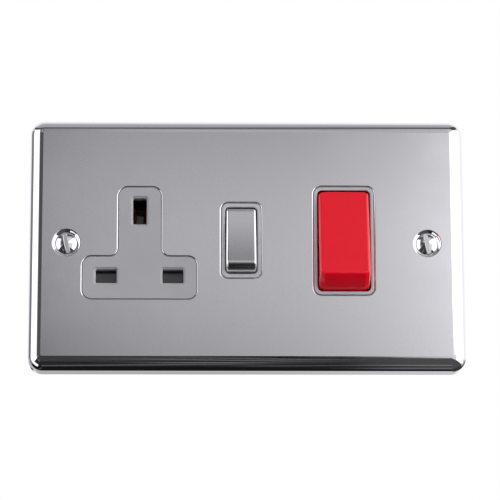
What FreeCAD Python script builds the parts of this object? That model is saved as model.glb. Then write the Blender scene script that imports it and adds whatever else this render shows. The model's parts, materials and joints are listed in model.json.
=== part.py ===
import FreeCAD, Part
import math
import os
import re

import Sketcher

# Cooker control unit: a flush wall plate 146 x 86 mm that carries a large red
# double-pole rocker for the cooker and a switched 13 A socket outlet.
# Frame: X to the right, Z up, the viewer is at -Y. The origin is the centre of
# the line between the two fixing screws, in the plane of the plate's rear rim.
# All lengths are in millimetres and all angles in degrees.

V = FreeCAD.Vector
C = Sketcher.Constraint
doc = FreeCAD.newDocument("cooker_control_unit")
sheet = doc.addObject("Spreadsheet::Sheet", "Dims")

DIMS = [
    # front plate
    ("plate_w", 146.0, "plate width"),
    ("plate_h", 86.0, "plate height"),
    ("plate_d", 9.0, "plate face in front of the rim plane"),
    ("sheet_thk", 1.2, "sheet thickness"),
    ("shoulder", 4.6, "pressed shoulder radius"),
    ("plate_corner", 5.0, "corner radius seen from the front"),
    ("cut_gap", 0.12, "gap between a moulding and its cut-out"),
    ("cut_edge", 0.45, "edge round of the cut-outs"),
    ("fix_x", 60.3, "fixing screw from the centre"),
    ("boss_x", 48.0, "weld boss, across"),
    ("boss_z", 32.0, "weld boss, up and down"),
    ("boss_rad", 2.5, "weld boss radius"),
    ("seat_y", -5.5, "plane where the mouldings' flanges meet the base"),
    # socket
    ("sx", -35.8, "socket centre, across"),
    ("tee_top", 19.0, "half height of the T face"),
    ("tee_foot", 14.2, "height of the foot of the T"),
    ("tee_half", 19.0, "half width of the foot"),
    ("stem_half", 7.08, "half width of the stem"),
    ("tee_rad", 3.0, "corner radius of the T"),
    ("pin_x", 11.115, "live and neutral pins from the centre"),
    ("pin_z", 11.3, "live and neutral pins below the centre"),
    ("ear_z", 10.93, "earth pin above the centre"),
    ("ap_w", 3.5, "half width of a flat aperture"),
    ("ap_t", 2.35, "half height of a flat aperture"),
    ("ear_w", 2.3, "half width of the earth aperture"),
    ("ear_h", 4.5, "half height of the earth aperture"),
    ("ap_bevel", 0.7, "entry bevel"),
    ("rail_in", 15.7, "shutter rail, inner side"),
    ("rail_out", 17.5, "shutter rail, outer side"),
    ("rail_back", -1.6, "back of the shutter rails"),
    ("leaf_gap", 1.75, "nip of the contact leaves from the pin axis"),
    ("leaf_thk", 0.65, "contact leaf thickness"),
    ("contact_back", 10.8, "back plane of the live and neutral contacts"),
    ("earth_back", 15.2, "back plane of the earth contact"),
    # rockers
    ("swz", 0.9, "switch centres above the plate centre"),
    ("big_x", 32.43, "cooker rocker centre, across"),
    ("big_cut_w", 10.12, "half width of the cooker switch cut-out"),
    ("big_cut_h", 18.57, "half height of the cooker switch cut-out"),
    ("big_open", 8.84, "half width of the cooker rocker window"),
    ("big_pivot", -3.7, "cooker rocker pivot plane"),
    ("big_end", 17.6, "end arc of the cooker rocker"),
    ("big_front", 9.25, "cooker rocker face from its pivot"),
    ("big_half", 8.46, "half width of the cooker rocker"),
    ("big_tilt", 12.4, "cooker rocker tilt either way"),
    ("big_edge", 1.1, "edge round of the cooker rocker"),
    ("big_facet", 1.7, "facet on the end edges of the cooker rocker, across"),
    ("big_facet_in", 0.65, "the same facet, inwards"),
    ("small_x", -1.9, "socket rocker centre, across"),
    ("small_cut_w", 6.72, "half width of the socket switch cut-out"),
    ("small_cut_h", 12.86, "half height of the socket switch cut-out"),
    ("small_open", 5.37, "half width of the socket rocker window"),
    ("small_pivot", -5.1, "socket rocker pivot plane"),
    ("small_end", 11.52, "end arc of the socket rocker"),
    ("small_front", 5.76, "socket rocker face from its pivot"),
    ("small_half", 5.03, "half width of the socket rocker"),
    ("small_tilt", 11.0, "socket rocker tilt either way"),
    ("cap_thk", 0.6, "plated cap thickness"),
    ("dish", 110.0, "radius of the dished face of the plated cap"),
    ("lip", 1.3, "rolled lip at each end of the plated cap's face"),
    ("lip_rad", 4.5, "radius of the rolled lip"),
    ("lip_drop", 0.08, "outer edge of the lip behind the face"),
    ("slot_lean", 11.4, "lean of the fixing screws' slots"),
    ("big_corner", 1.5, "corner radius of the cooker rocker window"),
    ("small_corner", 1.4, "corner radius of the socket rocker window"),
    ("win_gap", 0.4, "gap between a rocker end and its window"),
    ("pole", 5.0, "half pitch of the two poles"),
    ("bore_rad", 1.65, "plunger bore"),
    ("plunger_rad", 1.58, "plunger radius"),
    # contact bars
    ("hinge_y", 7.5, "hinge line of the contact bars"),
    ("hinge_tilt", 6.0, "contact bar tilt either way"),
    ("lever_w", 2.5, "half width of a contact bar"),
    ("strip_y", 10.8, "front plane of the fixed strips"),
    ("strip_thk", 1.0, "strip thickness"),
    ("tip_rad", 1.5, "contact tip radius"),
    ("tip_z", 10.0, "contact tip from the hinge line"),
    # terminals
    ("term_z", 21.3, "terminals above and below the centre"),
    ("term_half", 4.5, "half length of a terminal block"),
    ("term_w", 4.3, "half width of a terminal block"),
    ("term_back", 21.8, "back of the terminal blocks"),
    ("wire_y", 15.6, "wire bore plane"),
    ("wire_rad", 2.6, "wire bore radius"),
    ("screw_rad", 2.2, "terminal screw radius"),
    ("earth_x", 12.0, "earth terminals, across"),
    # rear base
    ("base_w", 56.0, "half width of the rear base"),
    ("base_h", 28.0, "half height of the rear base"),
    ("base_back", 24.0, "back of the rear base"),
    ("wall", 2.0, "rear base wall"),
    ("access", 3.6, "wire and screwdriver hole radius"),
]

for row, (alias, value, words) in enumerate(DIMS, 1):
    sheet.set("A%d" % row, words)
    sheet.set("B%d" % row, str(value))
    sheet.setAlias("B%d" % row, alias)
doc.recompute()
ALIASES = {alias for alias, _, _ in DIMS}


def ref(expr):
    """The same expression with each dimension read from the sheet."""
    return re.sub(
        r"[A-Za-z_]\w*",
        lambda word: "Dims." + word.group(0) if word.group(0) in ALIASES else word.group(0),
        str(expr),
    )


def num(expr):
    return float(sheet.evalExpression(ref(expr)))


def body(label):
    made = doc.addObject("PartDesign::Body", label)
    made.Label = label
    return made


def origin(b, role):
    for item in b.Origin.OriginFeatures:
        if item.Role == role:
            return item
    raise ValueError(role)


def rect(x0, x1, y0, y1, r=None):
    """A rectangle, with round corners where r is given."""
    if r is None:
        return [(x0, y0), (x1, y0), (x1, y1), (x0, y1)]
    return [
        (f"{x0}+{r}", y0), (f"{x1}-{r}", y0, r, 1),
        (x1, f"{y0}+{r}"), (x1, f"{y1}-{r}", r, 1),
        (f"{x1}-{r}", y1), (f"{x0}+{r}", y1, r, 1),
        (x0, f"{y1}-{r}"), (x0, f"{y0}+{r}", r, 1),
    ]


def circle(x, y, r):
    return ("circle", x, y, r)


def arc_between(p, q, r, side):
    """The short arc of radius r from p to q; side 1 turns left, -1 right."""
    mx, my = (p[0] + q[0]) / 2, (p[1] + q[1]) / 2
    dx, dy = q[0] - p[0], q[1] - p[1]
    chord = math.hypot(dx, dy)
    rise = math.sqrt(max(r * r - chord * chord / 4, 0.0))
    cx, cy = mx - side * dy / chord * rise, my + side * dx / chord * rise
    a = math.atan2(p[1] - cy, p[0] - cx)
    z = math.atan2(q[1] - cy, q[0] - cx)
    if side < 0:
        a, z = z, a
    while z < a:
        z += 2 * math.pi
    return Part.ArcOfCircle(Part.Circle(V(cx, cy, 0), V(0, 0, 1), r), a, z)


def sketch(b, plane, at, loops, axis=None):
    """A fully bound sketch on one of the body's own planes, moved to `at`."""
    sk = b.newObject("Sketcher::SketchObject", b.Name + "_sketch")
    sk.AttachmentSupport = [(origin(b, plane + "_Plane"), "")]
    sk.MapMode = "FlatFace"
    away = "-(%s)" % at if plane == "XZ" else str(at)
    sk.AttachmentOffset = FreeCAD.Placement(V(0, 0, num(away)), FreeCAD.Rotation())
    sk.setExpression("AttachmentOffset.Base.z", ref(away))
    for loop in loops:
        if loop[0] == "circle":
            _, x, y, r = loop
            g = sk.addGeometry(Part.Circle(V(num(x), num(y), 0), V(0, 0, 1), num(r)), False)
            for kind, expr in (("DistanceX", x), ("DistanceY", y)):
                k = sk.addConstraint(C(kind, -1, 1, g, 3, num(expr)))
                sk.setExpression("Constraints[%d]" % k, ref(expr))
            k = sk.addConstraint(C("Radius", g, num(r)))
            sk.setExpression("Constraints[%d]" % k, ref(r))
            continue
        at_ = [(num(v[0]), num(v[1])) for v in loop]
        many = len(loop)
        made, ends = [], []
        for i, v in enumerate(loop):
            p, q = at_[i], at_[(i + 1) % many]
            if len(v) == 4:
                made.append(arc_between(p, q, num(v[2]), v[3]))
                ends.append((1, 2) if v[3] > 0 else (2, 1))
            else:
                made.append(Part.LineSegment(V(p[0], p[1], 0), V(q[0], q[1], 0)))
                ends.append((1, 2))
        ids = sk.addGeometry(made, False)
        sk.addConstraint([
            C("Coincident", ids[i], ends[i][1], ids[(i + 1) % many], ends[(i + 1) % many][0])
            for i in range(many)
        ])
        for i, v in enumerate(loop):
            for kind, expr, value in (("DistanceX", v[0], at_[i][0]), ("DistanceY", v[1], at_[i][1])):
                k = sk.addConstraint(C(kind, -1, 1, ids[i], ends[i][0], value))
                sk.setExpression("Constraints[%d]" % k, ref(expr))
            if len(v) == 4:
                k = sk.addConstraint(C("Radius", ids[i], num(v[2])))
                sk.setExpression("Constraints[%d]" % k, ref(v[2]))
    if axis is not None:
        g = sk.addGeometry(Part.LineSegment(V(num(axis), -20, 0), V(num(axis), 20, 0)), True)
        sk.addConstraint([C("Vertical", g), C("DistanceY", -1, 1, g, 1, -20), C("DistanceY", -1, 1, g, 2, 20)])
        k = sk.addConstraint(C("DistanceX", -1, 1, g, 1, num(axis)))
        sk.setExpression("Constraints[%d]" % k, ref(axis))
    return sk


def volume(b):
    return b.Tip.Shape.Volume if b.Tip is not None and not b.Tip.Shape.isNull() else 0.0


def done(b, feature, grows):
    doc.recompute()
    after = feature.Shape.Volume
    if (after <= done.before + 1e-6) if grows else (after >= done.before - 1e-6):
        raise RuntimeError("%s: %s changed nothing" % (b.Label, feature.Name))
    return feature


def slab(b, plane, low, high, loops):
    """Material between two parallel planes: XZ runs along Y, XY along Z, YZ along X."""
    done.before = volume(b)
    sk = sketch(b, plane, high if plane == "XZ" else low, loops)
    pad = b.newObject("PartDesign::Pad", b.Name + "_pad")
    pad.Profile = sk
    pad.Length = num("(%s)-(%s)" % (high, low))
    pad.setExpression("Length", ref("(%s)-(%s)" % (high, low)))
    return done(b, pad, True)


def cut(b, plane, low, high, loops):
    """Material taken away between two parallel planes."""
    done.before = volume(b)
    sk = sketch(b, plane, low if plane == "XZ" else high, loops)
    pocket = b.newObject("PartDesign::Pocket", b.Name + "_pocket")
    pocket.Profile = sk
    pocket.Length = num("(%s)-(%s)" % (high, low))
    pocket.setExpression("Length", ref("(%s)-(%s)" % (high, low)))
    return done(b, pocket, False)


def turn(b, loops, axis="0", add=True):
    """A turned shape about a line parallel to Y at x = axis, profile as (x, y)."""
    done.before = volume(b)
    sk = sketch(b, "XY", "0", loops, axis)
    made = b.newObject("PartDesign::Revolution" if add else "PartDesign::Groove", b.Name + "_turn")
    made.Profile = sk
    made.ReferenceAxis = (sk, ["Axis0"])
    made.Angle = 360
    return done(b, made, add)


def trim_round(b, loops):
    """Material turned away about the body's own X axis, profile as (x, y)."""
    done.before = volume(b)
    sk = sketch(b, "XY", "0", loops)
    made = b.newObject("PartDesign::Groove", b.Name + "_turn")
    made.Profile = sk
    made.ReferenceAxis = (origin(b, "X_Axis"), [""])
    made.Angle = 360
    return done(b, made, False)


def dress(b, kind, size, test):
    """A fillet or a chamfer on each edge that passes the test."""
    base = b.Tip
    names = ["Edge%d" % (i + 1) for i, e in enumerate(base.Shape.Edges) if test(e)]
    if not names:
        raise RuntimeError("%s: no edge found" % b.Label)
    made = b.newObject("PartDesign::" + kind, b.Name + "_" + kind.lower())
    made.Base = (base, names)
    prop = "Radius" if kind == "Fillet" else "Size"
    setattr(made, prop, num(size))
    made.setExpression(prop, ref(size))
    doc.recompute()
    if "Invalid" in made.State or "Error" in made.State or made.Shape.isNull():
        raise RuntimeError("%s: %s failed" % (b.Label, kind))
    return made


def along(e, axis):
    """A straight edge along one axis."""
    if not isinstance(e.Curve, Part.Line) or len(e.Vertexes) != 2:
        return False
    d = e.Vertexes[1].Point - e.Vertexes[0].Point
    return abs(abs(d[axis]) - d.Length) < 1e-6


def level(e, axis, value):
    """An edge that lies in one plane square to an axis."""
    box = e.BoundBox
    low, high = (box.XMin, box.YMin, box.ZMin)[axis], (box.XMax, box.YMax, box.ZMax)[axis]
    return abs(low - value) < 1e-4 and abs(high - value) < 1e-4


def within(e, x0, x1, z0, z1):
    box = e.BoundBox
    return box.XMin > x0 and box.XMax < x1 and box.ZMin > z0 and box.ZMax < z1


def place(b, x, y, z, tilt=None, back=False):
    """Puts a body at a pivot, tilted about X; back leans its lower end inwards."""
    axis = V(1, 0, 0) if back else V(-1, 0, 0)
    angle = num(tilt) if tilt else 0.0
    b.Placement = FreeCAD.Placement(V(num(x), num(y), num(z)), FreeCAD.Rotation(axis, angle))
    for name, expr in (("x", x), ("y", y), ("z", z)):
        b.setExpression("Placement.Base." + name, ref(expr))
    if tilt:
        b.setExpression("Placement.Rotation.Angle", ref(tilt))
    doc.recompute()


# --------------------------------------------------------------------------
# faceplate: one pressed dish with three cut-outs, two countersunk dimples and
# weld bosses inside
# --------------------------------------------------------------------------
def tee(g):
    """The T-shaped face of the socket, grown by g."""
    xl, xr = f"(sx-tee_half-{g})", f"(sx+tee_half+{g})"
    sl, sr = f"(sx-stem_half-{g})", f"(sx+stem_half+{g})"
    zb, zt = f"(-tee_top-{g})", f"(tee_top+{g})"
    zf = f"(-tee_top+tee_foot+{g})"
    r = f"(tee_rad+{g})"
    ri = f"(tee_rad-{g})"
    return [
        (f"{xl}+{r}", zb), (f"{xr}-{r}", zb, r, 1),
        (xr, f"{zb}+{r}"), (xr, f"{zf}-{r}", r, 1),
        (f"{xr}-{r}", zf), (f"{sr}+{ri}", zf, ri, -1),
        (sr, f"{zf}+{ri}"), (sr, f"{zt}-{r}", r, 1),
        (f"{sr}-{r}", zt), (f"{sl}+{r}", zt, r, 1),
        (sl, f"{zt}-{r}"), (sl, f"{zf}+{ri}", ri, -1),
        (f"{sl}-{ri}", zf), (f"{xl}+{r}", zf, r, 1),
        (xl, f"{zf}-{r}"), (xl, f"{zb}+{r}", r, 1),
    ]


plate = body("faceplate")
slab(plate, "XZ", "-plate_d", "0", [rect("-plate_w/2", "plate_w/2", "-plate_h/2", "plate_h/2")])
dress(plate, "Fillet", "plate_corner", lambda e: along(e, 1))
dress(plate, "Fillet", "shoulder", lambda e: level(e, 1, -num("plate_d")))
shell = plate.newObject("PartDesign::Thickness", "faceplate_thickness")
shell.Base = (
    plate.Tip if plate.Tip != shell else plate.Group[-2],
    ["Face%d" % (i + 1) for i, f in enumerate(plate.Group[-2].Shape.Faces) if level(f, 1, 0.0)],
)
shell.Value = num("sheet_thk")
shell.setExpression("Value", ref("sheet_thk"))
shell.Reversed = True
doc.recompute()
slab(plate, "XZ", "-plate_d+sheet_thk-0.1", "seat_y", [
    circle("boss_x", "boss_z", "boss_rad"), circle("-boss_x", "boss_z", "boss_rad"),
    circle("boss_x", "-boss_z", "boss_rad"), circle("-boss_x", "-boss_z", "boss_rad"),
    circle("earth_x", "boss_z", "boss_rad"),
])
for side in ("fix_x", "-fix_x"):
    # the pressed cup behind each countersunk dimple, then the dimple itself
    turn(plate, [[
        (f"{side}+1.9", "-plate_d+0.9"), (f"{side}+5.5", "-plate_d+0.9"), (f"{side}+5.5", "-plate_d+sheet_thk"),
        (f"{side}+3.3", "-5.6"), (f"{side}+1.9", "-5.6"),
    ]], side)
    turn(plate, [[
        (side, "-plate_d-0.5"), (f"{side}+4.8", "-plate_d-0.5"), (f"{side}+4.8", "-plate_d", "0.637", -1),
        (f"{side}+4.3494", "-plate_d+0.1866"), (f"{side}+2.0", "-plate_d+2.536"), (f"{side}+2.0", "-5.4"), (side, "-5.4"),
    ]], side, add=False)
cut(plate, "XZ", "-plate_d-0.5", "-plate_d+sheet_thk+0.3", [
    tee("cut_gap"),
    rect("(big_x-big_cut_w)", "(big_x+big_cut_w)", "(swz-big_cut_h)", "(swz+big_cut_h)", "2.5"),
    rect("(small_x-small_cut_w)", "(small_x+small_cut_w)", "(swz-small_cut_h)", "(swz+small_cut_h)", "2.2"),
])
cut(plate, "XZ", "-plate_d+sheet_thk+0.1", "seat_y+0.2", [
    circle("boss_x", "boss_z", "1.3"), circle("-boss_x", "boss_z", "1.3"),
    circle("boss_x", "-boss_z", "1.3"), circle("-boss_x", "-boss_z", "1.3"),
    circle("earth_x", "boss_z", "1.3"),
])
dress(plate, "Fillet", "cut_edge", lambda e: level(e, 1, -num("plate_d")) and within(e, -56, 56, -25, 25))

# --------------------------------------------------------------------------
# socket outlet
# --------------------------------------------------------------------------
front = body("socket_front")
slab(front, "XZ", "-plate_d", "-plate_d+sheet_thk", [tee("0")])
slab(front, "XZ", "-plate_d+sheet_thk", "seat_y", [rect("-56", "-13.4", "-27", "27", "2")])
slab(front, "XZ", "seat_y", "rail_back", [
    rect("(sx-rail_out)", "(sx-rail_in)", "-22", "18"), rect("(sx+rail_in)", "(sx+rail_out)", "-22", "18"),
    rect("(sx-1.4)", "(sx+1.4)", "-11", "-9.6"),
])
# the flange makes way for the pressed cup of the left dimple
cut(front, "XZ", "-plate_d+sheet_thk", "seat_y+0.1", [circle("-fix_x", "0", "5.9")])
cut(front, "XZ", "-plate_d-0.5", "seat_y+0.1", [
    rect("(sx-pin_x-ap_w)", "(sx-pin_x+ap_w)", "(-pin_z-ap_t)", "(-pin_z+ap_t)", "0.4"),
    rect("(sx+pin_x-ap_w)", "(sx+pin_x+ap_w)", "(-pin_z-ap_t)", "(-pin_z+ap_t)", "0.4"),
    rect("(sx-ear_w)", "(sx+ear_w)", "(ear_z-ear_h)", "(ear_z+ear_h)", "0.4"),
])
dress(front, "Chamfer", "ap_bevel", lambda e: level(e, 1, -num("plate_d")) and (
    within(e, num("sx-pin_x-ap_w") - 0.1, num("sx+pin_x+ap_w") + 0.1, num("-pin_z-ap_t") - 0.1, num("-pin_z+ap_t") + 0.1)
    or within(e, num("sx-ear_w") - 0.1, num("sx+ear_w") + 0.1, num("ear_z-ear_h") - 0.1, num("ear_z+ear_h") + 0.1)))

# the sliding shutter: two flaps, a spring window and the ramp that the earth pin pushes down
shutter = body("shutter")
slab(shutter, "XZ", "seat_y+0.4", "seat_y+2", [[
    ("sx-15.3", "-14.3"), ("sx+15.3", "-14.3"), ("sx+15.3", "-9.8"), ("sx+5.5", "-9.8"),
    ("sx+5.5", "6"), ("sx-5.5", "6"), ("sx-5.5", "-9.8"), ("sx-15.3", "-9.8"),
]])
slab(shutter, "YZ", "sx-1.1", "sx+1.1", [[
    ("seat_y+0.4", "5"), ("seat_y+3.4", "5"), ("seat_y+3.4", "10.5"), ("seat_y+2.8", "10.5"), ("seat_y+0.4", "6.6"),
]])
cut(shutter, "XZ", "seat_y", "seat_y+2.5", [rect("(sx-1.9)", "(sx+1.9)", "-12.2", "4")])

carrier = body("shutter_carrier")
slab(carrier, "XZ", "rail_back", "rail_back+1", [rect("(sx-rail_out)", "(sx+rail_out)", "-22", "20", "1.5")])
cut(carrier, "XZ", "rail_back-0.2", "rail_back+1.2", [
    rect("(sx-pin_x-4.2)", "(sx-pin_x+4.2)", "(-pin_z-3)", "(-pin_z+2.2)", "0.6"),
    rect("(sx+pin_x-4.2)", "(sx+pin_x+4.2)", "(-pin_z-3)", "(-pin_z+2.2)", "0.6"),
    rect("(sx-3)", "(sx+3)", "(ear_z-5.2)", "(ear_z+5.2)", "0.6"),
])


def clip(back):
    """A folded strip that grips a pin: distances along Y, then from the pin axis."""
    g, w = "leaf_gap", "leaf_thk"
    half = [
        ("0.35", f"{g}+{w}+1.25"), ("1.75", f"{g}+{w}"), ("7.5", f"{g}+{w}+0.5"), (back, f"{g}+{w}+0.5"),
    ]
    inner = [
        (f"{back}-0.8", f"{g}+0.5"), ("7.4", f"{g}+0.5"), ("1.6", g), ("-0.15", f"{g}+{w}+0.8"),
    ]
    out = [(y, f"-({s})") for y, s in half] + [(y, s) for y, s in half[::-1]]
    out += [(y, s) for y, s in inner[::-1]] + [(y, f"-({s})") for y, s in inner]
    return out


for label, side in (("live_contact", "sx+pin_x"), ("neutral_contact", "sx-pin_x")):
    c = body(label)
    slab(c, "YZ", f"{side}-3", f"{side}+3", [[(y, f"-pin_z+({z})") for y, z in clip("contact_back")]])

ec = body("earth_contact")
slab(ec, "XY", "ear_z-3.5", "ear_z+3.5", [[(f"sx+({x})", y) for y, x in clip("earth_back")]])
slab(ec, "XZ", "earth_back-0.8", "earth_back", [rect("sx-2.9", "sx+2.9", "ear_z+2", "20.5")])


def spring(label, mean, wire_r, start, length, pitch):
    """A coil of round wire about the local Y axis."""
    b = body(label)
    sk = sketch(b, "XY", "0", [circle(mean, start, wire_r)])
    coil = b.newObject("PartDesign::AdditiveHelix", label + "_coil")
    coil.Profile = sk
    coil.ReferenceAxis = (sk, ["V_Axis"])
    coil.Mode = 0
    coil.Pitch = num(pitch)
    coil.Height = num(length)
    coil.Angle = 0
    coil.Growth = 0
    coil.setExpression("Pitch", ref(pitch))
    coil.setExpression("Height", ref(length))
    doc.recompute()
    return b


ss = spring("shutter_spring", "0.95", "0.18", "0", "13.6-0.4", "1.65")
ss.Placement = FreeCAD.Placement(V(num("sx"), num("seat_y+1.3"), -9.4), FreeCAD.Rotation(V(1, 0, 0), 90))
ss.setExpression("Placement.Base.x", ref("sx"))
ss.setExpression("Placement.Base.y", ref("seat_y+1.3"))
doc.recompute()


# --------------------------------------------------------------------------
# switch frames: the grey rings round the rockers, with trunnion cheeks behind
# --------------------------------------------------------------------------
def frame(label, cx, cut_w, cut_h, rad, opening, pivot, end, corner, x0, x1, cheek, cheek_back, cheek_half, hole):
    b = body(label)
    z0, z1 = f"(swz-{cut_h}+cut_gap)", f"(swz+{cut_h}-cut_gap)"
    slab(b, "XZ", "-plate_d", "-plate_d+sheet_thk", [rect(f"({cx}-{cut_w}+cut_gap)", f"({cx}+{cut_w}-cut_gap)", z0, z1, rad)])
    slab(b, "XZ", "-plate_d+sheet_thk", "seat_y", [rect(x0, x1, "-27", "27", "1.5")])
    slab(b, "XZ", "seat_y", cheek_back, [
        rect(f"({cx}-{cheek})", f"({cx}-{opening})", f"(swz-{cheek_half})", f"(swz+{cheek_half})"),
        rect(f"({cx}+{opening})", f"({cx}+{cheek})", f"(swz-{cheek_half})", f"(swz+{cheek_half})"),
    ])
    # the window: its ends are arcs about the rocker's pivot
    w = f"({end}+win_gap)"
    ya, yb = "(-plate_d-0.3)", "(seat_y+0.1)"
    za = f"sqrt({w}^2-({ya}-{pivot})^2)"
    zb = f"sqrt({w}^2-({yb}-{pivot})^2)"
    cut(b, "YZ", f"{cx}-{opening}", f"{cx}+{opening}", [[
        (ya, f"swz-{za}"), (ya, f"swz+{za}", w, -1), (yb, f"swz+{zb}"), (yb, f"swz-{zb}", w, -1),
    ]])
    sides = (num(f"{cx}-{opening}"), num(f"{cx}+{opening}"))
    reach = num(w)
    dress(b, "Fillet", corner, lambda e: isinstance(e.Curve, Part.Circle) and abs(e.Curve.Radius - reach) < 1e-3
          and (level(e, 0, sides[0]) or level(e, 0, sides[1])))
    cut(b, "YZ", f"{cx}-{cheek}-0.5", f"{cx}+{cheek}+0.5", [circle(pivot, "swz", hole)])
    dress(b, "Fillet", "0.35", lambda e: level(e, 1, -num("plate_d")))
    return b


frame("cooker_switch_frame", "big_x", "big_cut_w", "big_cut_h", "2.4", "big_open", "big_pivot", "big_end", "big_corner",
      "17", "47.4", "11.4", "-1.2", "3.4", "1.55")
frame("socket_switch_frame", "small_x", "small_cut_w", "small_cut_h", "2.1", "small_open", "small_pivot", "small_end", "small_corner",
      "-10.9", "6.8", "7.5", "-2.6", "2.8", "1.25")


# --------------------------------------------------------------------------
# rockers, modelled about their pivots and then tilted to the off position
# --------------------------------------------------------------------------
def lipped(f, r, hollow):
    """Side view of the plated cap: a hollow face between two rolled lips, end arcs about the pivot."""
    e = f"({f}-lip_drop)"
    z = f"sqrt({r}^2-{e}^2)"
    return [
        (f"-{e}", f"-{z}", "lip_rad", -1), (f"-{f}", f"-{z}+lip", hollow, 1), (f"-{f}", f"{z}-lip", "lip_rad", -1),
        (f"-{e}", z, r, -1), ("0", r), ("0", f"-{r}", r, -1),
    ]


def sector(f, r, back="0", hollow=None):
    """Side view of a rocker: flat or hollow face, end arcs about the pivot."""
    z = f"sqrt({r}^2-{f}^2)"
    face = (f"-{f}", f"-{z}", hollow, 1) if hollow else (f"-{f}", f"-{z}")
    return [face, (f"-{f}", z, r, -1), ("0", r), (back, r), (back, f"-{r}"), ("0", f"-{r}", r, -1)] \
        if back != "0" else [face, (f"-{f}", z, r, -1), ("0", r), ("0", f"-{r}", r, -1)]


def outer_edges(f, half):
    def test(e):
        box = e.BoundBox
        if level(e, 1, -f):
            return True
        return (level(e, 0, half) or level(e, 0, -half)) and not level(e, 1, 0.0)
    return test


rocker = body("cooker_rocker")
slab(rocker, "YZ", "-big_half", "big_half", [sector("big_front", "big_end")])
trim_round(rocker, [[
    (f"{k}*(big_half-big_facet)", "-big_end"), (f"{k}*(big_half+big_facet)", "-big_end+2*big_facet_in"),
    (f"{k}*(big_half+big_facet)", "-big_end-1"), (f"{k}*(big_half-big_facet)", "-big_end-1"),
] for k in (1, -1)])
dress(rocker, "Fillet", "big_edge", outer_edges(num("big_front"), num("big_half")))
cut(rocker, "YZ", "-6.9", "6.9", [sector("(big_front-2)", "(big_end-1.8)", "0.5")])
slab(rocker, "YZ", "-big_half", "-6.9", [circle("0", "0", "2.9")])
slab(rocker, "YZ", "6.9", "big_half", [circle("0", "0", "2.9")])
slab(rocker, "YZ", "-big_half-2.2", "-big_half+0.2", [circle("0", "0", "1.5")])
slab(rocker, "YZ", "big_half-0.2", "big_half+2.2", [circle("0", "0", "1.5")])
slab(rocker, "XZ", "-big_front+1.9", "1.8", [circle("-pole", "0", "2.5"), circle("pole", "0", "2.5")])
cut(rocker, "XZ", "-6.6", "2", [circle("-pole", "0", "bore_rad"), circle("pole", "0", "bore_rad")])
place(rocker, "big_x", "big_pivot", "swz", "big_tilt")

carrier2 = body("socket_rocker")
slab(carrier2, "YZ", "-small_half+cap_thk+0.05", "small_half-cap_thk-0.05",
     [sector("(small_front-cap_thk-0.05)", "(small_end-cap_thk-0.05)", hollow="(dish+cap_thk+0.05)")])
cut(carrier2, "YZ", "-3.2", "3.2", [sector("(small_front-2)", "(small_end-2.2)", "0.5")])
slab(carrier2, "YZ", "-small_half+cap_thk+0.05", "-3.2", [circle("0", "0", "2.3")])
slab(carrier2, "YZ", "3.2", "small_half-cap_thk-0.05", [circle("0", "0", "2.3")])
slab(carrier2, "YZ", "-7", "-small_half+cap_thk+0.25", [circle("0", "0", "1.2")])
slab(carrier2, "YZ", "small_half-cap_thk-0.25", "7", [circle("0", "0", "1.2")])
slab(carrier2, "XZ", "-small_front+1.9", "1.8", [circle("0", "0", "2.5")])
cut(carrier2, "XZ", "-4.2", "2", [circle("0", "0", "bore_rad")])
place(carrier2, "small_x", "small_pivot", "swz", "small_tilt")

cap = body("socket_rocker_cap")
slab(cap, "YZ", "-small_half", "small_half", [lipped("small_front", "small_end", "dish")])
dress(cap, "Fillet", "0.8", outer_edges(num("small_front-lip_drop"), num("small_half")))
cut(cap, "YZ", "-small_half+cap_thk", "small_half-cap_thk", [sector("(small_front-cap_thk)", "(small_end-cap_thk)", "0.5", "(dish+cap_thk)")])
cut(cap, "YZ", "-small_half-1", "small_half+1", [rect("-1.6", "0.5", "-9.6", "9.6")])
place(cap, "small_x", "small_pivot", "swz", "small_tilt")


def plunger(label, x, y, pivot, tilt, top, nose, blind):
    """A round-nosed plunger and the coil behind it, in the rocker's own frame."""
    b = body(label)
    turn(b, [[("0", top), ("plunger_rad", top), ("plunger_rad", nose, "plunger_rad", 1), ("0", f"{nose}+plunger_rad")]], "0")
    place(b, x, pivot, "swz", tilt)
    c = spring(label + "_spring", "1.2", "0.18", f"{blind}+0.2", f"({top})-({blind})-0.4", f"(({top})-({blind})-0.4)/5")
    place(c, x, pivot, "swz", tilt)


plunger("cooker_live_plunger", "big_x-pole", "0", "big_pivot", "big_tilt", "-2", "8.85", "-6.6")
plunger("cooker_neutral_plunger", "big_x+pole", "0", "big_pivot", "big_tilt", "-2", "8.85", "-6.6")
plunger("socket_plunger", "small_x", "0", "small_pivot", "small_tilt", "-0.5", "10.25", "-4.2")


# --------------------------------------------------------------------------
# contact bars, their fulcrums, the fixed strips and the contact tips
# --------------------------------------------------------------------------
def contact_bar(label, x):
    b = body(label)
    slab(b, "XZ", "-strip_thk/2", "strip_thk/2", [rect("(-lever_w)", "lever_w", "-10.8", "12", "0.8")])
    slab(b, "YZ", "-3.95", "3.95", [circle("0", "0", "0.55")])
    place(b, x, "hinge_y", "swz", "hinge_tilt", back=True)
    tip = body(label + "_tip")
    slab(tip, "XZ", "strip_thk/2", "strip_thk/2+0.6", [circle("0", "tip_z", "tip_rad")])
    dress(tip, "Fillet", "0.2", lambda e: level(e, 1, num("strip_thk/2+0.6")))
    place(tip, x, "hinge_y", "swz", "hinge_tilt", back=True)


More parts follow.
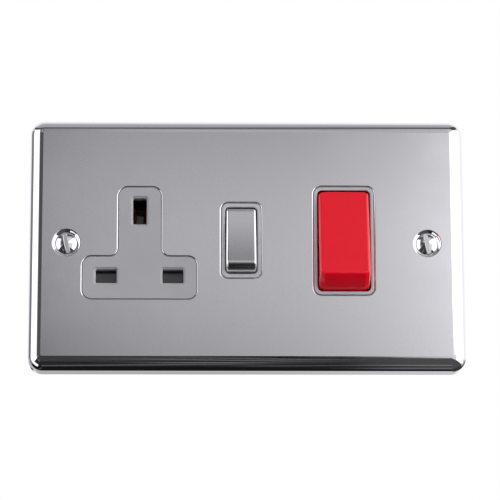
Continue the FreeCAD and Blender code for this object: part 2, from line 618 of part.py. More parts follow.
def fulcrum(label, x, low):
    b = body(label)
    slab(b, "XZ", "strip_y", "strip_y+strip_thk", [[
        (f"{x}-lever_w", low), (f"{x}+lever_w", low), (f"{x}+lever_w", "swz-2.5"), (f"{x}+3.7", "swz-2.5"),
        (f"{x}+3.7", "swz+2.5"), (f"{x}-3.7", "swz+2.5"), (f"{x}-3.7", "swz-2.5"), (f"{x}-lever_w", "swz-2.5"),
    ]])
    for a, z in ((f"{x}-3.7", f"{x}-2.9"), (f"{x}+2.9", f"{x}+3.7")):
        slab(b, "YZ", a, z, [rect("hinge_y-0.9", "strip_y+0.1", "swz-2.2", "swz+2.2")])
    cut(b, "YZ", f"{x}-4", f"{x}+4", [[
        ("hinge_y-1", "swz-0.62"), ("hinge_y", "swz-0.62", "0.6201", 1), ("hinge_y+0.62", "swz", "0.6201", 1),
        ("hinge_y", "swz+0.62"), ("hinge_y-1", "swz+0.62"),
    ]])


for label, x in (("cooker_live", "big_x-pole"), ("cooker_neutral", "big_x+pole")):
    contact_bar(label + "_bar", x)
    fulcrum(label + "_fulcrum", x, "-25.4")
    strip = body(label + "_fixed_strip")
    slab(strip, "XZ", "strip_y", "strip_y+strip_thk", [rect(f"({x}-lever_w)", f"({x}+lever_w)", "(swz+7.6)", "25.4", "0.5")])
contact_bar("socket_bar", "small_x")
fulcrum("socket_fulcrum", "small_x", "-25.4")

tips = body("fixed_contact_tips")
slab(tips, "XZ", "hinge_y+2.45", "strip_y", [
    circle("big_x-pole", "swz+tip_z-0.17", "tip_rad"), circle("big_x+pole", "swz+tip_z-0.17", "tip_rad"),
    circle("small_x", "swz+tip_z-0.17", "tip_rad"),
])

# live strip from the socket switch's fixed contact round to the live pin contact
s = body("socket_live_strip")
slab(s, "XZ", "strip_y", "strip_y+strip_thk", [[
    ("sx+pin_x-3", "-14"), ("-10", "-14"), ("-10", "swz+7.6"), ("small_x+lever_w", "swz+7.6"),
    ("small_x+lever_w", "14"), ("-14", "14"), ("-14", "-8"), ("sx+pin_x-3", "-8"),
]])

# live link from the supply side of the cooker switch to the socket switch
s = body("live_link")
slab(s, "XZ", "strip_y-strip_thk", "strip_y", [rect("(small_x-lever_w)", "(big_x-pole+lever_w)", "-25.4", "-21.6", "0.5")])

# neutral link, on edge along the bottom, with a tab at each end
s = body("neutral_link")
slab(s, "XZ", "4.6", "8", [rect("sx-pin_x-3", "big_x+pole+lever_w", "-25.9", "-25.5")])
slab(s, "XZ", "7.9", "strip_y", [rect("big_x+pole-lever_w", "big_x+pole+lever_w", "-25.9", "-25.5")])
slab(s, "XZ", "strip_y-strip_thk", "strip_y", [rect("big_x+pole-lever_w", "big_x+pole+lever_w", "-25.6", "-21.6")])
slab(s, "XZ", "7.9", "strip_y+strip_thk", [rect("sx-pin_x-3", "sx-pin_x+3", "-25.9", "-25.5")])
slab(s, "XZ", "strip_y", "strip_y+strip_thk", [rect("sx-pin_x-3", "sx-pin_x+3", "-25.6", "-8.3")])


# --------------------------------------------------------------------------
# terminals
# --------------------------------------------------------------------------
def terminal(label, x, sign):
    b = body(label)
    z = "term_z" if sign > 0 else "(-term_z)"
    slab(b, "XZ", "strip_y+strip_thk", "term_back", [rect(f"({x}-term_w)", f"({x}+term_w)", f"({z}-term_half)", f"({z}+term_half)", "0.6")])
    cut(b, "XY", f"{z}-term_half-0.5", f"{z}+term_half+0.5", [circle(x, "wire_y", "wire_rad")])
    cut(b, "XZ", "wire_y+1", "term_back+0.5", [circle(x, z, "screw_rad+0.05")])


POLES = (("live", "big_x-pole"), ("neutral", "big_x+pole"), ("earth", "earth_x"))
for word, x in POLES:
    terminal(word + "_supply_terminal", x, -1)
    terminal(word + "_load_terminal", x, 1)

screws = body("terminal_screws")
spots = [(x, z) for _, x in POLES for z in ("-term_z", "term_z")]
slab(screws, "XZ", "wire_y+wire_rad+0.3", "term_back", [circle(x, z, "screw_rad") for x, z in spots])
slab(screws, "XZ", "term_back", "base_back-0.3", [circle(x, z, "3") for x, z in spots])
dress(screws, "Fillet", "0.35", lambda e: level(e, 1, num("base_back-0.3")))
cut(screws, "XZ", "base_back-1.3", "base_back", [rect(f"{x}-2.9", f"{x}+2.9", f"{z}-0.5", f"{z}+0.5") for x, z in spots])

s = body("earth_bar")
slab(s, "XZ", "strip_y", "strip_y+strip_thk", [rect("(earth_x-2.5)", "(earth_x+2.5)", "-20.4", "25.4", "0.5")])

s = body("earth_strap")
slab(s, "XZ", "strip_y-strip_thk", "strip_y", [rect("-34", "earth_x+2.5", "16.5", "20.5")])
slab(s, "XZ", "strip_y-0.1", "earth_back-0.8", [rect("-34", "-33", "16.5", "20.5")])
slab(s, "XZ", "earth_back-1.8", "earth_back-0.8", [rect("sx-2.5", "-33.5", "16.5", "20.5")])

s = body("plate_earth_tab")
slab(s, "XZ", "seat_y", "seat_y+0.8", [rect("earth_x-2.8", "earth_x+2.8", "24.6", "boss_z+4.5")])
slab(s, "XZ", "seat_y+0.7", "strip_y", [rect("earth_x-2.8", "earth_x+2.8", "24.6", "25.4")])
slab(s, "XZ", "strip_y-strip_thk", "strip_y", [rect("earth_x-2.8", "earth_x+2.8", "21.2", "24.7")])
cut(s, "XZ", "seat_y-0.2", "seat_y+1", [circle("earth_x", "boss_z", "1.6")])

s = body("earth_screw")
slab(s, "XZ", "-plate_d+sheet_thk+0.3", "seat_y+0.9", [circle("earth_x", "boss_z", "1.25")])
slab(s, "XZ", "seat_y+0.8", "seat_y+2.4", [circle("earth_x", "boss_z", "2.6")])
dress(s, "Fillet", "0.4", lambda e: level(e, 1, num("seat_y+2.4")))
cut(s, "XZ", "seat_y+1.6", "seat_y+2.6", [rect("earth_x-2.5", "earth_x+2.5", "boss_z-0.4", "boss_z+0.4")])

# --------------------------------------------------------------------------
# rear base
# --------------------------------------------------------------------------
base = body("rear_base")
slab(base, "XZ", "seat_y", "base_back", [rect("-base_w", "base_w", "-base_h", "base_h", "3")])
dress(base, "Fillet", "1.2", lambda e: level(e, 1, num("base_back")))
cut(base, "XZ", "seat_y-0.5", "base_back-wall", [rect("-base_w+wall", "base_w-wall", "-base_h+wall", "base_h-wall", "1")])
slab(base, "XZ", "seat_y", "base_back-wall+0.1", [rect("-17.6", "-16", "-6.5", "15"), rect("16.6", "18.2", "-19", "base_h-wall+0.1")])
slab(base, "XZ", "6", "base_back-wall+0.1", [rect("big_x-0.7", "big_x+0.7", "-base_h+wall+0.6", "base_h-wall+0.1")])
for sx_ in ("-", ""):
    for sz_ in ("-", ""):
        x0, x1 = (f"{sx_}boss_x-3.5", f"{sx_}boss_x+3.5")
        z0, z1 = ("(-boss_z-3.5)", "(-base_h+0.5)") if sz_ else ("(base_h-0.5)", "(boss_z+3.5)")
        slab(base, "XZ", "seat_y", "seat_y+3", [rect(f"({x0})", f"({x1})", z0, z1)])
cut(base, "XZ", "seat_y-0.5", "seat_y+3.5", [
    circle("boss_x", "boss_z", "1.6"), circle("-boss_x", "boss_z", "1.6"),
    circle("boss_x", "-boss_z", "1.6"), circle("-boss_x", "-boss_z", "1.6"),
])
for _, x in POLES:
    cut(base, "XY", "-base_h-0.5", "-base_h+wall+0.2", [circle(x, "wire_y", "access")])
    cut(base, "XY", "base_h-wall-0.2", "base_h+0.5", [circle(x, "wire_y", "access")])
cut(base, "XZ", "base_back-wall-0.1", "base_back+0.5", [circle(x, z, "access") for x, z in spots])
cut(base, "XZ", "seat_y-0.5", "seat_y+0.9", [rect("earth_x-3.1", "earth_x+3.1", "base_h-wall-0.5", "base_h+0.5")])

# --------------------------------------------------------------------------
# fasteners
# --------------------------------------------------------------------------
s = body("housing_screws")
bosses = [("boss_x", "boss_z"), ("-boss_x", "boss_z"), ("boss_x", "-boss_z"), ("-boss_x", "-boss_z")]
slab(s, "XZ", "-plate_d+sheet_thk+0.3", "seat_y+3.1", [circle(x, z, "1.25") for x, z in bosses])
slab(s, "XZ", "seat_y+3", "seat_y+4.6", [circle(x, z, "2.6") for x, z in bosses])
dress(s, "Fillet", "0.4", lambda e: level(e, 1, num("seat_y+4.6")))
cut(s, "XZ", "seat_y+3.8", "seat_y+5", [rect(f"{x}-2.5", f"{x}+2.5", f"{z}-0.4", f"{z}+0.4") for x, z in bosses])

# two M3.5 raised countersunk screws; the thread is left as a plain shank
s = body("fixing_screws")
turn(s, [[
    ("0", "-plate_d-0.15", "6.9", 1), ("3.5", "-plate_d+0.797"), ("3.5", "-plate_d+0.93"),
    ("1.95", "-plate_d+2.48"), ("1.75", "-plate_d+3.35"), ("1.75", "21.4"), ("1.2", "22"), ("0", "22"),
]], "0")
head = s.Tip
# the slot tapers from 1.6 mm at its mouth to 1 mm at its floor
cut(s, "XY", "-5", "5", [[
    ("-0.5", "-plate_d+0.75"), ("0.5", "-plate_d+0.75"), ("0.95", "-plate_d-0.5"), ("-0.95", "-plate_d-0.5"),
]])
row = s.newObject("Sketcher::SketchObject", "fixing_screws_row")
row.AttachmentSupport = [(origin(s, "XZ_Plane"), "")]
row.MapMode = "FlatFace"
doc.recompute()
row.addGeometry(Part.LineSegment(V(0, 0, 0), V(10 * math.cos(math.radians(num("slot_lean"))), -10 * math.sin(math.radians(num("slot_lean"))), 0)), True)
row.addConstraint([C("Coincident", 0, 1, -1, 1), C("Distance", 0, 10)])
row.addConstraint(C("Angle", 0, -math.radians(num("slot_lean"))))
row.setExpression("Constraints[2]", "-" + ref("slot_lean") + " * 1 deg")
doc.recompute()
pair = s.newObject("PartDesign::LinearPattern", "fixing_screws_pair")
pair.Originals = [head, s.Group[-3]]
pair.Direction = (row, ["Axis0"])
pair.Length = num("2*fix_x")
pair.setExpression("Length", ref("2*fix_x"))
pair.Occurrences = 2
s.Tip = pair
doc.recompute()
s.Placement = FreeCAD.Placement(V(-num("fix_x"), 0, 0), FreeCAD.Rotation(V(0, -1, 0), num("slot_lean")))
s.setExpression("Placement.Base.x", ref("-fix_x"))
s.setExpression("Placement.Rotation.Angle", ref("slot_lean"))
doc.recompute()

# --------------------------------------------------------------------------
# checks and files
# --------------------------------------------------------------------------
doc.recompute()
for item in doc.Objects:
    if "Invalid" in item.State or "Error" in item.State:
        raise RuntimeError("%s is %s" % (item.Name, item.State))
pieces = [item for item in doc.Objects if item.TypeId == "PartDesign::Body"]
for piece in pieces:
    if piece.Shape.isNull() or not piece.Shape.isValid() or piece.Shape.Volume <= 0:
        raise RuntimeError("%s has no valid shape" % piece.Label)
os.makedirs("parts", exist_ok=True)
for piece in pieces:
    piece.Shape.exportStep("parts/%s.step" % piece.Label)
    print("%-28s %2d solid(s) %10.2f mm3" % (piece.Label, len(piece.Shape.Solids), piece.Shape.Volume))
print(len(pieces), "nodes")
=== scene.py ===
import json
import math

import bmesh
import bpy
import numpy as np
from mathutils import Matrix, Vector
from mathutils.geometry import tessellate_polygon


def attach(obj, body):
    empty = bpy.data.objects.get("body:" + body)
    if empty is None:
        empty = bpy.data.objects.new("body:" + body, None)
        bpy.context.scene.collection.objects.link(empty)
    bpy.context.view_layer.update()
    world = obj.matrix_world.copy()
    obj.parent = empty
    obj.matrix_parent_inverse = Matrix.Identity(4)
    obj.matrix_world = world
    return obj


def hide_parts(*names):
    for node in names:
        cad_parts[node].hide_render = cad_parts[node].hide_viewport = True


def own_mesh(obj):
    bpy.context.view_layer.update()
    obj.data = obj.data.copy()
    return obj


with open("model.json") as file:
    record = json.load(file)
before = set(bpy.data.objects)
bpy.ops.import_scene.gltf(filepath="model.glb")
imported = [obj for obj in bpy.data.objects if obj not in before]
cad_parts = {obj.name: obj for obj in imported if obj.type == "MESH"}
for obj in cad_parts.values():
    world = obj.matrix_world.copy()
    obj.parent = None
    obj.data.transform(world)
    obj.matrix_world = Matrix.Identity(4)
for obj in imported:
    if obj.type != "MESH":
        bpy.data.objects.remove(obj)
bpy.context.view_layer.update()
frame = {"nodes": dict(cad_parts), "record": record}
NODES = frame["nodes"]
MM = 0.001


# --------------------------------------------------------------------------
# camera
# --------------------------------------------------------------------------
def make_camera():
    az, el, roll = math.radians(-1.354), math.radians(-13.008), math.radians(-0.16)
    back = Vector((math.sin(az) * math.cos(el), -math.cos(az) * math.cos(el), math.sin(el)))
    right = Vector((math.cos(az), math.sin(az), 0.0))
    up = back.cross(right)
    right2 = right * math.cos(roll) + up * math.sin(roll)
    up2 = up * math.cos(roll) - right * math.sin(roll)
    data = bpy.data.cameras.new("camera")
    data.sensor_width = 36.0
    data.lens = 2725.76 / 500.0 * 36.0
    data.clip_start, data.clip_end = 0.05, 30.0
    cam = bpy.data.objects.new("camera", data)
    bpy.context.scene.collection.objects.link(cam)
    cam.rotation_mode = "QUATERNION"
    cam.rotation_quaternion = Matrix((right2, up2, back)).transposed().to_quaternion()
    cam.location = Vector((0.996, -9.0, -2.405)) * MM + back * 909.93 * MM
    bpy.context.scene.camera = cam


make_camera()


# --------------------------------------------------------------------------
# node helper: fields that add, multiply and blend like numbers
# --------------------------------------------------------------------------
class Field:
    tree = None

    def __init__(self, socket):
        self.socket = socket

    @staticmethod
    def math(op, *args, clamp=False):
        node = Field.tree.nodes.new("ShaderNodeMath")
        node.operation = op
        node.use_clamp = clamp
        for i, a in enumerate(args):
            if isinstance(a, Field):
                Field.tree.links.new(a.socket, node.inputs[i])
            else:
                node.inputs[i].default_value = float(a)
        return Field(node.outputs[0])

    def __add__(self, o):
        return Field.math("ADD", self, o)

    __radd__ = __add__

    def __sub__(self, o):
        return Field.math("SUBTRACT", self, o)

    def __rsub__(self, o):
        return Field.math("SUBTRACT", o, self)

    def __mul__(self, o):
        return Field.math("MULTIPLY", self, o)

    __rmul__ = __mul__

    def __neg__(self):
        return Field.math("MULTIPLY", self, -1.0)

    def above(self, at, soft):
        """0 below at, 1 above it, blended over 2 x soft."""
        node = Field.tree.nodes.new("ShaderNodeMapRange")
        node.interpolation_type = "SMOOTHSTEP"
        Field.tree.links.new(self.socket, node.inputs["Value"])
        if isinstance(at, Field):
            low, high = at - soft, at + soft
            Field.tree.links.new(low.socket, node.inputs["From Min"])
            Field.tree.links.new(high.socket, node.inputs["From Max"])
        else:
            node.inputs["From Min"].default_value = at - soft
            node.inputs["From Max"].default_value = at + soft
        return Field(node.outputs["Result"])

    def below(self, at, soft):
        return 1.0 - self.above(at, soft)

    def band(self, low, high, soft):
        return self.above(low, soft) * self.below(high, soft)


def over(base, value, mask):
    """value laid over base where mask is 1."""
    node = Field.tree.nodes.new("ShaderNodeMix")
    node.data_type = "FLOAT"
    node.clamp_factor = True
    for sock, v in ((node.inputs[0], mask), (node.inputs[2], base), (node.inputs[3], value)):
        if isinstance(v, Field):
            Field.tree.links.new(v.socket, sock)
        else:
            sock.default_value = float(v)
    return Field(node.outputs[0])


def lin(level):
    """Linear light of a display level from 0 to 255."""
    s = level / 255.0
    return s / 12.92 if s <= 0.04045 else ((s + 0.055) / 1.055) ** 2.4


# --------------------------------------------------------------------------
# studio: white surround, grey card in front, soft boxes left and right and a
# dark floor cloth, as the polished plate mirrors them
# --------------------------------------------------------------------------
def make_world():
    world = bpy.data.worlds.new("studio")
    bpy.context.scene.world = world
    world.use_nodes = True
    tree = world.node_tree
    tree.nodes.clear()
    Field.tree = tree
    coord = tree.nodes.new("ShaderNodeTexCoord")
    split = tree.nodes.new("ShaderNodeSeparateXYZ")
    tree.links.new(coord.outputs["Generated"], split.inputs[0])
    rx, ry, rz = (Field(split.outputs[i]) for i in range(3))
    deg = 180.0 / math.pi
    azim = Field.math("ARCTAN2", rx, -ry) * deg
    elev = Field.math("ARCSINE", rz) * deg
    pitch = Field.math("ARCTAN2", rz, -ry) * deg
    right = Field.math("MAXIMUM", rx, 0.0)
    left = Field.math("MAXIMUM", -rx, 0.0)
    side = Field.math("ABSOLUTE", azim)

    def least(x, y):
        return Field.math("MINIMUM", x, y)

    def most(x, y):
        return Field.math("MAXIMUM", x, y)

    # light surround, with the grey ceiling over the front half
    v = over(lin(240), lin(161), pitch.above(30, 10) * pitch.below(100, 22) * elev.above(20, 8))
    # grey card that the flat face mirrors
    a = least(most(azim, -4.2), 6.3)
    e = least(most(elev - 13.0, -3.0), 2.6)
    card = 0.414 + a * 0.01497 + a * a * -0.00127 + a * a * a * 0.00115 + e * 0.00513 + e * e * -0.01535 + a * e * -0.00358
    tall = over(card, least(card, over(lin(150), lin(172), azim.above(3.6, 1.4))), elev.above(16.2, 1.6) * azim.below(7.5, 3))
    # taller middle of the card, lighter below and darker above
    ramp = lin(171) + most(elev - 30.0, 0.0) * -0.0135
    tall = over(tall, least(most(ramp, lin(120)), lin(171)), azim.band(-1.6, 5.0, 1.2) * elev.above(24, 3))
    tall = over(tall, lin(130), elev.above(45, 3))
    v = over(v, tall, elev.below(46, 5) * azim.band(-16, 30, 4) * pitch.below(90, 20))
    # dark upper edge of the card and its dark frame
    edge = 47.0 + over(0.0, 11.0, azim.above(2, 9)) + over(0.0, -6.0, azim.below(-45, 50)) + over(0.0, -9.0, azim.above(60, 60))
    thick = azim.band(42, 104, 14) * 9.0
    v = over(v, lin(66), elev.above(edge - 5.5 - thick * 1.2, 3) * elev.below(edge + 6.0 + thick * 0.6, 3.5) * side.below(118, 14))
    v = over(v, lin(92), azim.band(-44, -18, 6) * elev.band(12, 44, 3))
    # soft box on the left and the dark gaps beside it
    v = over(v, lin(76), azim.band(-100, -4.3, 0.8) * elev.below(18.5, 1.5) * pitch.above(-10, 20))
    v = over(v, lin(118), azim.band(-124, -88, 7) * elev.band(-30, 30, 8))
    v = over(v, 1.45, azim.band(-90, -36, 6) * elev.below(34, 4) * elev.above(-24.0 - 6.0 * azim.above(-62, 12), 4))
    # broad white wall on the right
    v = over(v, 1.45, azim.above(6.5 + most(elev - 17.0, 0.0) * 1.5 + least(most(11.45 - elev, 0.0), 0.9) * 30.0, 0.4) * elev.below(40, 6) * elev.above(-12.0 - right * 20.0, 5) * azim.below(100, 14))
    # dark floor cloth in front, with faint folds
    rim = 0.163 - least(right, 0.2) - 3.6 * least(most(right - 0.05, 0.0), 0.045) - 0.45 * most(right - 0.2, 0.0) - 0.35 * left - 0.65 * most(left - 0.3, 0.0)
    rim = rim + rx.band(0.012, 0.062, 0.008) * 0.013
    low = rz.below(rim, 0.014) * pitch.above(-141, 9)
    def fold(at, slope, half, level, low_x, high_x, soft_x=0.02):
        line = pitch - rx * slope
        return line.band(at - half, at + half, half * 0.8) * rx.band(low_x, high_x, soft_x) * lin(level)

    cloth = lin(21) + fold(-62, 250, 3.4, 96, -0.3, 0.03) + pitch.band(-36, 20, 7) * rx.below(0.0, 0.02) * lin(52) \
        + pitch.band(-82, -36, 5) * rx.below(0.02, 0.03) * lin(26) + fold(-20, -330, 4, 92, -0.02, 0.05) \
        + fold(-3, -300, 3, 110, 0.005, 0.05) + fold(-46, 60, 3, 128, -0.01, 0.026) + fold(-70, -40, 3, 84, 0.024, 0.06) + fold(-28, 120, 4, 62, 0.02, 0.06) \
        + fold(-84, 90, 3, 66, 0.02, 0.045, 0.008)
    front = lin(74) + fold(-67, 0, 3, 112, 0.06, 0.11) + fold(-96, 0, 4, 84, 0.06, 0.3) - pitch.band(-90, -76, 4) * rx.below(0.085, 0.02) * lin(62) \
        - pitch.below(-112, 9) * lin(72)
    cloth = over(cloth, most(front, lin(18)), rx.above(0.066, 0.016))
    v = over(v, cloth, low)
    # bright floor left of the cloth, and the cloth's lighter front corner
    beside = (rz * 0.45 - rx).above(0.02, 0.03)
    v = over(v, 1.1, rz.below(-0.3, 0.06) * beside * ry.band(-0.34, 0.04, 0.05))
    v = over(v, lin(100), beside * azim.above(-26, 6) * elev.band(-50, -22, 5))
    v = over(v, over(lin(170), lin(193), rx.above(0.05, 0.05)), pitch.below(-146, 8) * side.above(90, 30) * elev.below(-3, 6))
    v = over(v, lin(60), azim.above(100, 14) * elev.below(-24, 8) * pitch.above(-165, 10) * rx.above(0.16, 0.05))
    v = over(v, lin(44), azim.band(130, 159, 6) * elev.band(-60, 3, 5))

    tint = tree.nodes.new("ShaderNodeCombineColor")
    for i, k in enumerate((1.0, 0.992, 1.05)):
        tree.links.new((v * (k / 0.84)).socket, tint.inputs[i])
    # soft, even light for everything that isn't a mirror
    floor_cut = rz.above(-0.45, 0.3)
    soft = 0.02 + rx.above(0.72, 0.25) * floor_cut * 4.8 + rx.below(-0.6, 0.35) * floor_cut * 1.45 + ry.below(-0.965, 0.02) * 2.3 \
        + ry.below(-0.1, 0.5) * rz.above(-0.3, 0.3) * 0.39 + ry.above(0.4, 0.4) * 0.6
    plain = tree.nodes.new("ShaderNodeCombineColor")
    for i, k in enumerate((1.0, 1.0, 1.01)):
        tree.links.new((soft * k).socket, plain.inputs[i])
    path = tree.nodes.new("ShaderNodeLightPath")

    def blend(a, b, f):
        mix = tree.nodes.new("ShaderNodeMix")
        mix.data_type = "RGBA"
        tree.links.new(f, mix.inputs[0])
        for sock, c in ((mix.inputs[6], a), (mix.inputs[7], b)):
            if isinstance(c, tuple):
                sock.default_value = c
            else:
                tree.links.new(c, sock)
        return mix.outputs[2]

    colour = blend(plain.outputs[0], tint.outputs[0], path.outputs["Is Glossy Ray"])
    colour = blend(colour, (1.0, 1.0, 1.0, 1.0), path.outputs["Is Camera Ray"])
    back = tree.nodes.new("ShaderNodeBackground")
    tree.links.new(colour, back.inputs["Color"])
    back.inputs["Strength"].default_value = 1.0
    out = tree.nodes.new("ShaderNodeOutputWorld")
    tree.links.new(back.outputs[0], out.inputs[0])
    world.cycles.sampling_method = "NONE"


make_world()
view = bpy.context.scene.view_settings
view.view_transform = "Standard"
view.look = "None"
view.exposure = 0.0
view.gamma = 1.0


# --------------------------------------------------------------------------
# materials
# --------------------------------------------------------------------------
class Shade:
    """A procedural material built up in steps."""

    def __init__(self, name, colour, rough, metal=0.0, **extra):
        self.mat = bpy.data.materials.new(name)
        self.mat.use_nodes = True
        self.tree = self.mat.node_tree
        self.bsdf = self.tree.nodes["Principled BSDF"]
        self.bsdf.inputs["Base Color"].default_value = (*colour, 1.0)
        self.bsdf.inputs["Roughness"].default_value = rough
        self.bsdf.inputs["Metallic"].default_value = metal
        for key, value in extra.items():
            self.bsdf.inputs[key].default_value = value
        self.colour, self.rough = colour, rough
        self.coord = self.tree.nodes.new("ShaderNodeTexCoord").outputs["Object"]
        self.height = None

    def mapped(self, scale):
        m = self.tree.nodes.new("ShaderNodeMapping")
        m.inputs["Scale"].default_value = scale if isinstance(scale, tuple) else (scale,) * 3
        self.tree.links.new(self.coord, m.inputs["Vector"])
        return m.outputs[0]

    def noise(self, scale, detail=3.0, stretch=(1, 1, 1), rough=0.55):
        n = self.tree.nodes.new("ShaderNodeTexNoise")
        n.inputs["Scale"].default_value = scale
        n.inputs["Detail"].default_value = detail
        n.inputs["Roughness"].default_value = rough
        self.tree.links.new(self.mapped(stretch), n.inputs["Vector"])
        return n.outputs["Fac"]

    def ranged(self, value, low, high, to_low, to_high, smooth=True):
        m = self.tree.nodes.new("ShaderNodeMapRange")
        m.interpolation_type = "SMOOTHSTEP" if smooth else "LINEAR"
        self.tree.links.new(value, m.inputs["Value"])
        for key, v in (("From Min", low), ("From Max", high), ("To Min", to_low), ("To Max", to_high)):
            m.inputs[key].default_value = v
        return m.outputs["Result"]

    def vary_rough(self, value, low, high, spread=(0.35, 0.65)):
        self.tree.links.new(self.ranged(value, spread[0], spread[1], low, high), self.bsdf.inputs["Roughness"])

    def vary_colour(self, value, dark, light, spread=(0.35, 0.65)):
        """Colour from dark to light over the noise."""
        m = self.tree.nodes.new("ShaderNodeMix")
        m.data_type = "RGBA"
        self.tree.links.new(self.ranged(value, spread[0], spread[1], 0.0, 1.0), m.inputs[0])
        m.inputs[6].default_value = (*dark, 1.0)
        m.inputs[7].default_value = (*light, 1.0)
        self.tree.links.new(m.outputs[2], self.bsdf.inputs["Base Color"])
        return m

    def bump(self, value, distance, strength=1.0):
        b = self.tree.nodes.new("ShaderNodeBump")
        b.inputs["Distance"].default_value = distance
        b.inputs["Strength"].default_value = strength
        self.tree.links.new(value, b.inputs["Height"])
        if self.height is not None:
            self.tree.links.new(self.height, b.inputs["Normal"])
        self.height = b.outputs["Normal"]
        self.tree.links.new(self.height, self.bsdf.inputs["Normal"])
        return self

    def worn(self, amount_low, amount_high, radius=0.0006):
        """A mask that is 1 on convex edges."""
        g = self.tree.nodes.new("ShaderNodeNewGeometry")
        return self.ranged(g.outputs["Pointiness"], amount_low, amount_high, 0.0, 1.0)


def scaled(c, k):
    return tuple(min(1.0, x * k) for x in c)


def chrome(name, colour=(0.84, 0.84, 0.845), rough=0.07, grain=0.955):
    s = Shade(name, colour, rough, 1.0)
    s.vary_rough(s.noise(55, 4), rough * 0.85, rough * 1.2)
    s.vary_colour(s.noise(1900, 4, rough=0.7), scaled(colour, grain), scaled(colour, 1.01), (0.3, 0.7))
    s.bump(s.noise(9000, 2), 0.0000012, 0.3)
    return s.mat


def moulding(name, colour, rough=0.42, grain=0.000004, spec=0.4):
    s = Shade(name, colour, rough, 0.0, **{"Specular IOR Level": spec})
    s.vary_colour(s.noise(70, 4), scaled(colour, 0.975), scaled(colour, 1.02))
    s.vary_rough(s.noise(260, 3), rough - 0.04, rough + 0.05)
    s.bump(s.noise(5200, 3), grain, 0.6)
    return s.mat


def metal(name, colour, rough, streak=(1, 1, 1), dull=None, bump=0.000002):
    s = Shade(name, colour, rough, 1.0)
    s.vary_colour(s.noise(180, 5, streak), dull or scaled(colour, 0.8), colour, (0.3, 0.7))
    s.vary_rough(s.noise(420, 4, streak), rough * 0.75, rough * 1.4)
    s.bump(s.noise(2600, 4, streak), bump, 0.6)
    return s.mat


def slotted(name):
    """Polished plating, duller inside the two leaning slots."""
    s = Shade(name, (0.83, 0.83, 0.84), 0.07, 1.0)
    sep = s.tree.nodes.new("ShaderNodeSeparateXYZ")
    s.tree.links.new(s.coord, sep.inputs[0])
    Field.tree = s.tree
    x, y, z = (Field(sep.outputs[i]) for i in range(3))
    lean = math.radians(11.4)
    off = (x - Field.math("SIGN", x) * 0.0603) * math.cos(lean) + z * math.sin(lean)
    inside = Field.math("ABSOLUTE", off).below(0.00084, 0.00003) * y.below(-0.0078, 0.0001)
    rough = over(Field(s.ranged(s.noise(700, 4), 0.3, 0.7, 0.05, 0.09)), 0.34, inside)
    s.tree.links.new(rough.socket, s.bsdf.inputs["Roughness"])
    s.vary_colour(s.noise(1500, 4, rough=0.7), (0.80, 0.80, 0.81), (0.85, 0.85, 0.86), (0.3, 0.7))
    s.bump(s.noise(6000, 3), 0.0000015, 0.4)
    return s.mat


FINISH = {
    "chrome_plate": chrome("polished_plate"),
    "chrome_cap": chrome("polished_cap", rough=0.05),
    "grey_moulding": moulding("grey_moulding", (0.345, 0.343, 0.36), 0.36),
    "red_rocker": moulding("red_moulding", (0.70, 0.0012, 0.014), 0.17, 0.000001, 0.55),
    "dark_moulding": moulding("dark_moulding", (0.078, 0.078, 0.081), 0.5),
    "base_moulding": moulding("white_moulding", (0.56, 0.56, 0.54), 0.48, 0.000006),
    "brass": metal("brass_strip", (0.80, 0.56, 0.26), 0.3, (1, 1, 0.15), (0.62, 0.40, 0.17)),
    "copper": metal("copper_strip", (0.84, 0.50, 0.40), 0.42, (1, 1, 0.15), (0.62, 0.34, 0.27)),
    "silver_tip": metal("contact_silver", (0.86, 0.85, 0.82), 0.28),
    "spring_steel": metal("spring_wire", (0.46, 0.47, 0.49), 0.3),
    "nickel_screw": slotted("screw_nickel"),
    "zinc_screw": metal("zinc_plating", (0.66, 0.67, 0.63), 0.33, (1, 1, 1), (0.5, 0.52, 0.47)),
}
# frame rings: lighter copies of the grey moulding, with painted light standing in for the light the rings catch
RING_LIT_COPY = {
    "socket_switch_frame": moulding("painted_light_grey_ring", (0.445, 0.443, 0.465), 0.36),
    "cooker_switch_frame": moulding("painted_light_grey_ring_large", (0.43, 0.428, 0.45), 0.36),
}
for part in frame["record"]["subparts"]:
    obj = NODES[part["node"]]
    obj.data.materials.clear()
    obj.data.materials.append(RING_LIT_COPY.get(part["node"]) or FINISH[part["material_slot"]])


# --------------------------------------------------------------------------
# springs copied onto their joint's bodies, at their CAD length
# --------------------------------------------------------------------------
BODY_OF = {node: body for body, nodes in frame["record"]["behaviour"]["bodies"].items() for node in nodes}


def copy_of(node, name):
    obj = bpy.data.objects.new(name, NODES[node].data.copy())
    obj.matrix_world = NODES[node].matrix_world.copy()
    bpy.context.scene.collection.objects.link(obj)
    return obj


def soft_coil(node, travel, axis):
    """A copy of the coil on its joint's body, in place of the hidden CAD coil; its foot along axis and its length
    after travel are worked out but not applied.
    """
    obj = copy_of(node, node + "_coil")
    axis = Vector(axis).normalized()
    along = [(obj.matrix_world @ v.co).dot(axis) for v in obj.data.vertices]
    foot, length = min(along), max(along) - min(along)
    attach(obj, BODY_OF[node])
    tuple(axis * foot)
    1.0 - travel / length
    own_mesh(obj)
    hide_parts(node)


soft_coil("shutter_spring", 0.004, (0, 0, 1))
tilt = math.radians(12.4)
for pole in ("live", "neutral"):
    soft_coil("cooker_%s_plunger_spring" % pole, 0.0006, (0, math.cos(tilt), -math.sin(tilt)))
tilt = math.radians(11.0)
soft_coil("socket_plunger_spring", 0.0006, (0, math.cos(tilt), -math.sin(tilt)))


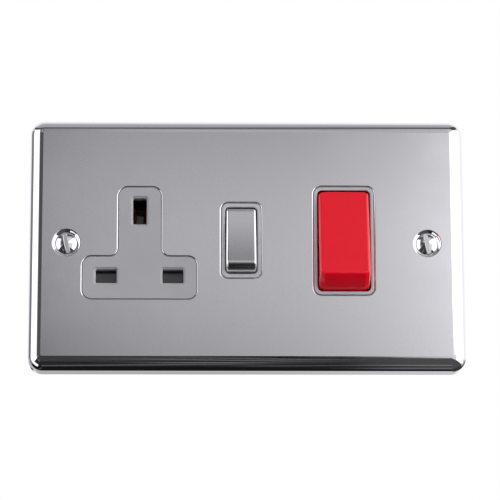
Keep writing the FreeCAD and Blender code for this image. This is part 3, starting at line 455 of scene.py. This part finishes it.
# --------------------------------------------------------------------------
# fixing screws with their rolled M3.5 thread
# --------------------------------------------------------------------------
def threaded_screws():
    obj = copy_of("fixing_screws", "fixing_screws_threaded")
    bm = bmesh.new()
    bm.from_mesh(obj.data)
    shank = [f for f in bm.faces if all(v.co.y > -0.00566 for v in f.verts)]
    bmesh.ops.delete(bm, geom=shank, context="FACES")
    pitch, radius, depth, start, end = 0.6, 1.75, 0.33, -5.75, 21.4
    turns, step = 28, 0.075
    rows = int(round((end - start) / step))
    for centre in (-60.3, 60.3):
        rings = []
        for k in range(rows + 1):
            y = start + (end - start) * k / rows
            fade = min(1.0, max(0.0, (y - start - 0.35) / 0.9)) * min(1.0, max(0.0, (end - y) / 0.5))
            ring = []
            for i in range(turns):
                a = 2 * math.pi * i / turns
                phase = (y / pitch - i / turns) % 1.0
                groove = max(0.0, 1.0 - abs(phase - 0.5) / 0.42)
                r = radius - depth * fade * min(groove, 0.86)
                ring.append(bm.verts.new(((centre + r * math.cos(a)) * MM, y * MM, r * math.sin(a) * MM)))
            rings.append(ring)
        rings.append([bm.verts.new(((centre + 1.2 * math.cos(2 * math.pi * i / turns)) * MM, 22.0 * MM,
                                    1.2 * math.sin(2 * math.pi * i / turns) * MM)) for i in range(turns)])
        for low_ring, high_ring in zip(rings, rings[1:]):
            for i in range(turns):
                j = (i + 1) % turns
                face = bm.faces.new((low_ring[i], high_ring[i], high_ring[j], low_ring[j]))
                face.smooth = True
        bm.faces.new(rings[-1])
    bm.to_mesh(obj.data)
    bm.free()
    obj.data.update()
    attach(obj, BODY_OF["fixing_screws"])
    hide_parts("fixing_screws")


threaded_screws()


# --------------------------------------------------------------------------
# floor
# --------------------------------------------------------------------------
def make_floor():
    bm = bmesh.new()
    bmesh.ops.create_grid(bm, x_segments=24, y_segments=24, size=4.0)
    mesh = bpy.data.meshes.new("floor")
    bm.to_mesh(mesh)
    bm.free()
    floor = bpy.data.objects.new("floor", mesh)
    floor.location = (0, 0, -0.35)
    bpy.context.scene.collection.objects.link(floor)
    s = Shade("floor_paper", (0.82, 0.82, 0.82), 0.8)
    s.vary_colour(s.noise(3, 2), (0.80, 0.80, 0.80), (0.84, 0.84, 0.84))
    mesh.materials.append(s.mat)
    floor.visible_glossy = False
    floor.visible_diffuse = False


make_floor()
